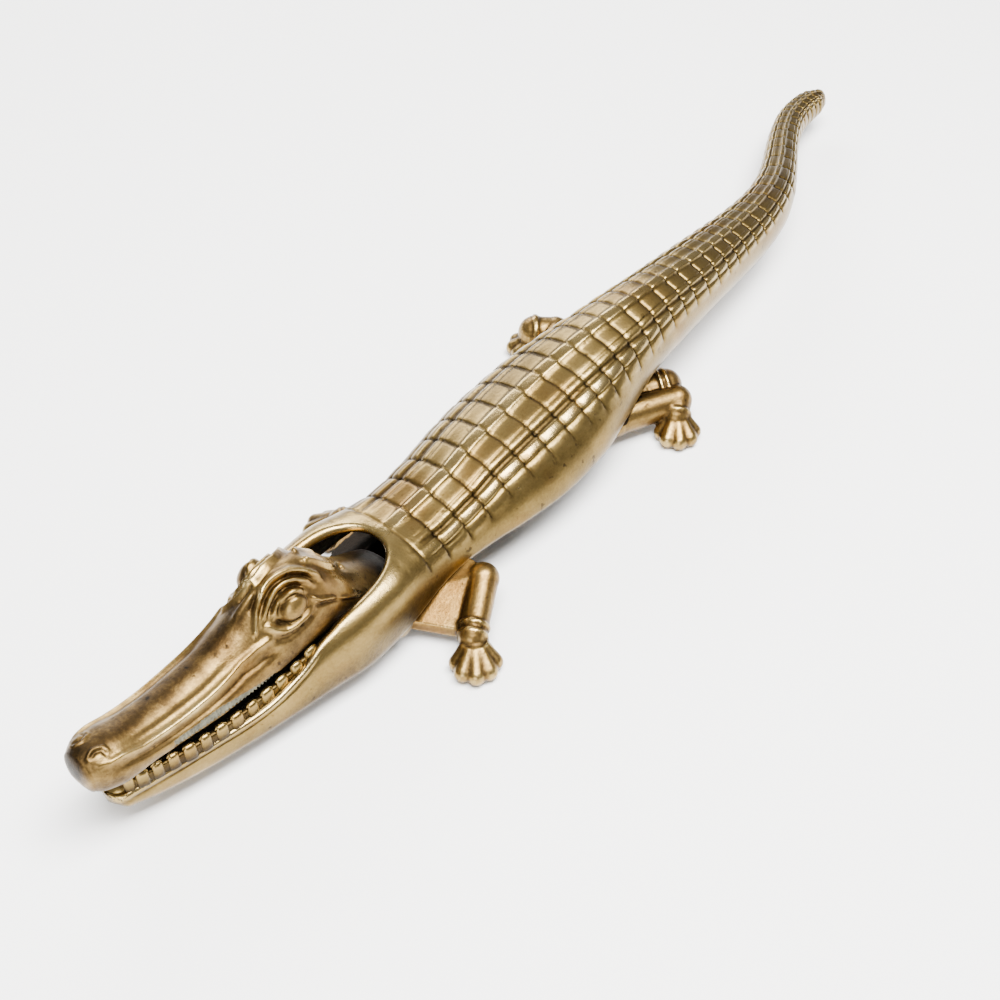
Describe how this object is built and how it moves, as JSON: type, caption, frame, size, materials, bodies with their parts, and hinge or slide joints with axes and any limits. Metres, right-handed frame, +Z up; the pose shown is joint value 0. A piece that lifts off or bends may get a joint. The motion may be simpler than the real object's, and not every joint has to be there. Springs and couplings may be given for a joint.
{
  "type": "alligator nutcracker",
  "caption": "Cast brass nutcracker shaped as an alligator: the head with its legs, and the hollow scaled back with the toothed lower jaw and tail handle, are levers crossed on a pivot pin.",
  "frame": {"origin": "on the ground under the middle of the object's length and width", "axes": "+X from the snout towards the tail, +Z up from the soles, +Y towards the side that the tail's tip bends to; the body's middle plane is Y = 0"},
  "size_m": [0.3401, 0.0766, 0.0371],
  "materials": {
    "polished_brass": "worn, aged polish",
    "browned_brass": "brown patina"
  },
  "bodies": {
    "head_and_legs": {"head_leg_lever": "browned_brass"},
    "back_and_tail": {"back_lever": "polished_brass", "pivot_pin": "polished_brass"}
  },
  "joints": [
    {"name": "jaw_hinge", "type": "hinge", "parent": "head_and_legs", "child": "back_and_tail", "pos_m": [-0.09095, 0, 0.008], "axis": [0, -1, 0], "range_deg": [0, 25]}
  ]
}
